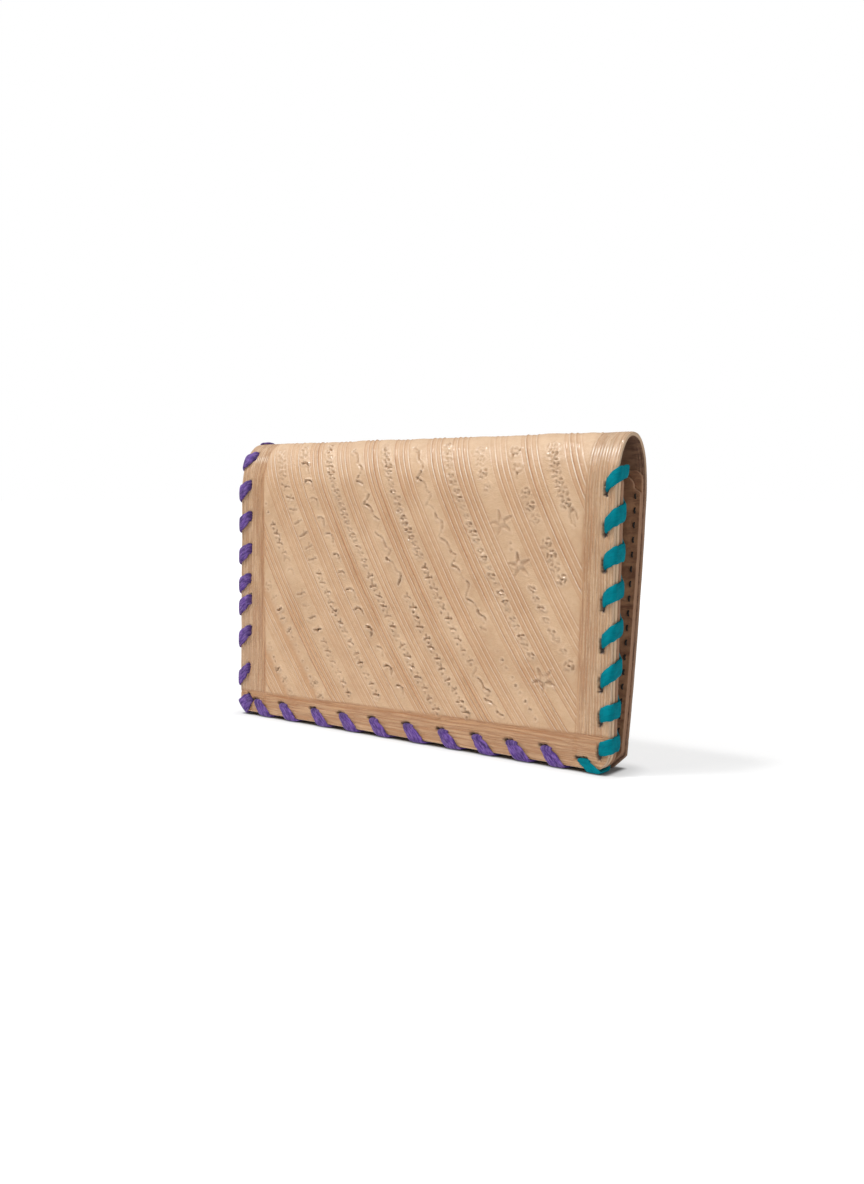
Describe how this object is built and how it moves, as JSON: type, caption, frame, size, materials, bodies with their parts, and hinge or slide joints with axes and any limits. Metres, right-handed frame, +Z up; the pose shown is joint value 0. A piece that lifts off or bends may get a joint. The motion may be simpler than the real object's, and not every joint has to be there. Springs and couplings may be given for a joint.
{
  "type": "folded leather clutch",
  "caption": "Small fold-over clutch of hand-tooled tan leather with whip-stitched suede lacing, standing on its edges.",
  "frame": {"origin": "centre of the bounding box's bottom face, on the floor that the clutch stands on", "axes": "+X to the right seen from the tooled front, +Y from the front half to the back half, +Z up to the fold"},
  "size_m": [0.1572, 0.0234, 0.101],
  "materials": {
    "tooled_leather": "vegetable-tanned, pressed pattern, satin",
    "pale_leather": "smooth, undyed",
    "brown_leather": "flesh side, matt",
    "waxed_thread": "waxed, twisted",
    "purple_suede": "fine suede",
    "teal_suede": "fine suede"
  },
  "bodies": {
    "back": {"back_cover": "tooled_leather", "back_panel": "brown_leather", "back_pocket": "brown_leather", "pocket_stitches": "waxed_thread", "crest_lace": "purple_suede"},
    "front": {"front_cover": "tooled_leather", "front_lining": "pale_leather", "front_pocket": "brown_leather", "purple_lace": "purple_suede", "teal_lace": "teal_suede"}
  },
  "joints": [
    {"name": "fold", "type": "hinge", "parent": "back", "child": "front", "pos_m": [0, 0.00177, 0.1], "axis": [-1, 0, 0], "range_deg": [0, 135]}
  ]
}
